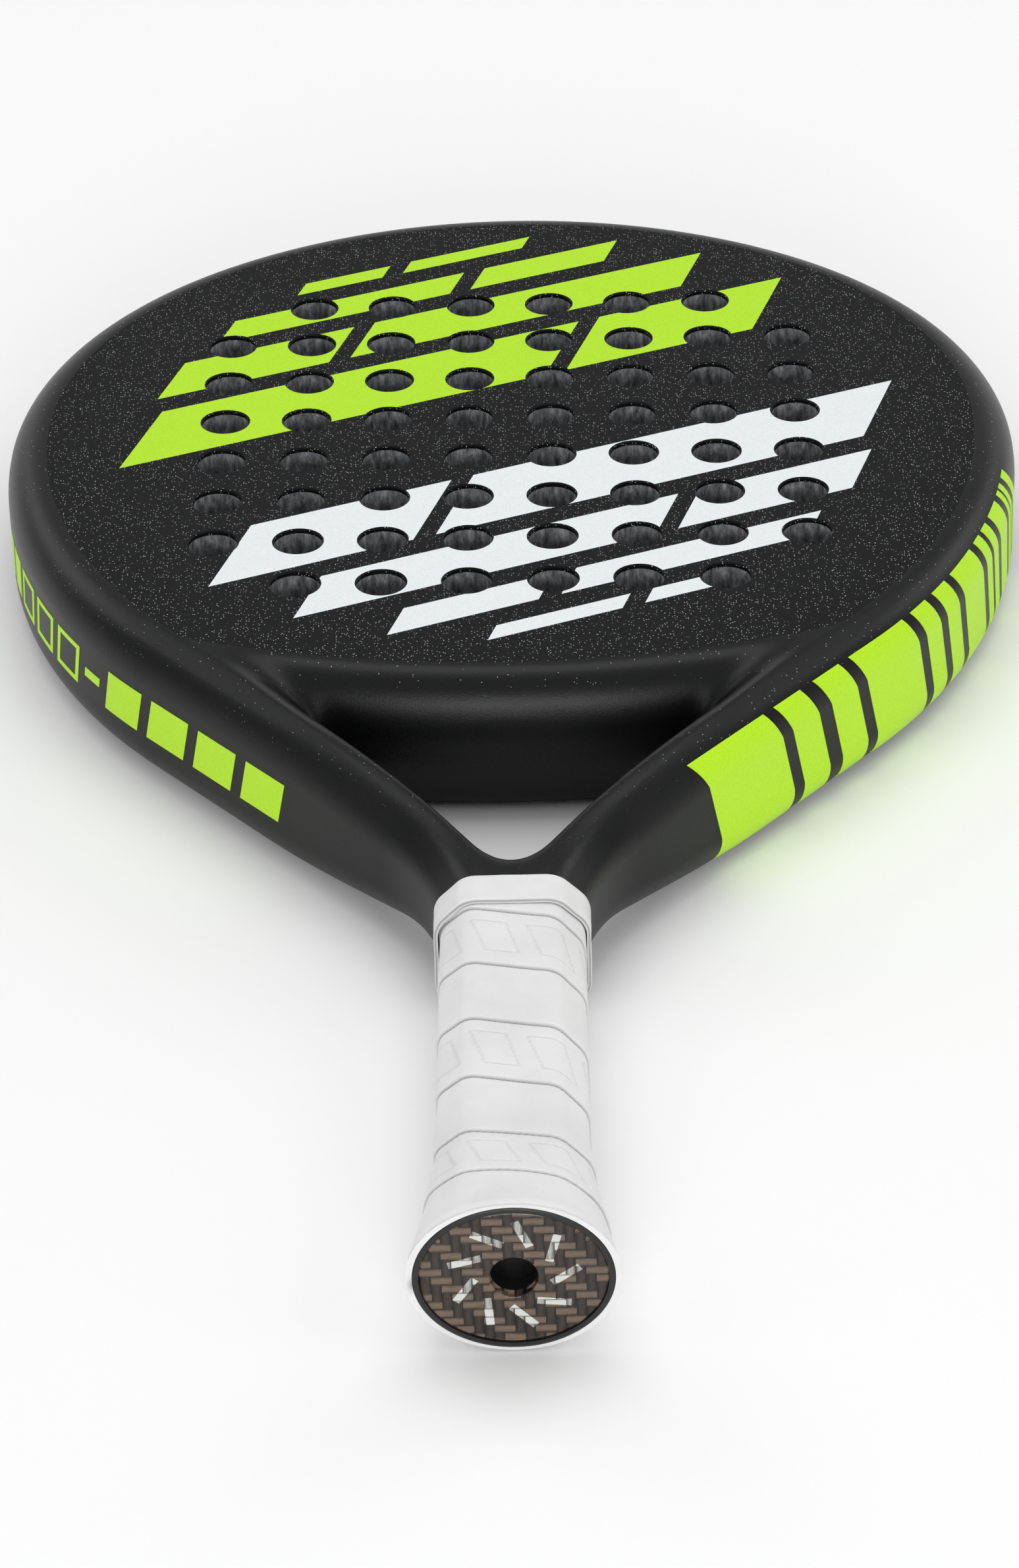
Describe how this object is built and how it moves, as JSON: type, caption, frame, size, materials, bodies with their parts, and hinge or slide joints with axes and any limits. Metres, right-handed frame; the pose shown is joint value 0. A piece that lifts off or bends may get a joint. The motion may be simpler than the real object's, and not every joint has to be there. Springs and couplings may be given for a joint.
{
  "type": "padel racket",
  "caption": "Padel racket with a drilled foam-cored face, an open throat closed by a bridge, and a wrapped eight-sided handle with a flared butt and cord hole.",
  "frame": {"origin": "centre of the overall box at its bottom, with the racket lying on its back face", "axes": "+Y from the butt to the tip, +Z from the back face to the front face, +X to the right seen from the front"},
  "size_m": [0.259, 0.4549, 0.038],
  "materials": {
    "carbon_frame": "moulded carbon-fibre tube under matte black lacquer",
    "face_laminate": "thin fibre laminate with a fine grit in black lacquer",
    "eva_foam": "dark grey closed-cell foam with drilled walls",
    "lime_transfer": "satin lime printed film",
    "white_transfer": "satin white printed film",
    "handle_foam": "rigid foam filling between the tube's legs",
    "cap_plastic": "moulded black plastic",
    "steel_pin": "drawn wire pins",
    "badge_weave": "bronze-brown twill carbon weave",
    "badge_foil": "silver foil",
    "badge_resin": "clear domed resin",
    "grip_wrap": "smooth off-white polyurethane wrap",
    "grip_tape": "white finishing tape"
  },
  "bodies": {
    "root": {"frame_tube": "carbon_frame", "throat_bridge": "carbon_frame", "eva_core": "eva_foam", "front_face": "face_laminate", "back_face": "face_laminate", "front_graphic_lime": "lime_transfer", "back_graphic_lime": "lime_transfer", "side_graphic_right": "lime_transfer", "side_graphic_left": "lime_transfer", "front_graphic_white": "white_transfer", "back_graphic_white": "white_transfer", "handle_core": "handle_foam", "butt_cap": "cap_plastic", "butt_cap_pins": "steel_pin", "butt_badge_carbon": "badge_weave", "butt_badge_emblem": "badge_foil", "butt_badge_dome": "badge_resin", "base_grip": "grip_wrap", "finishing_tape": "grip_tape"}
  },
  "joints": []
}
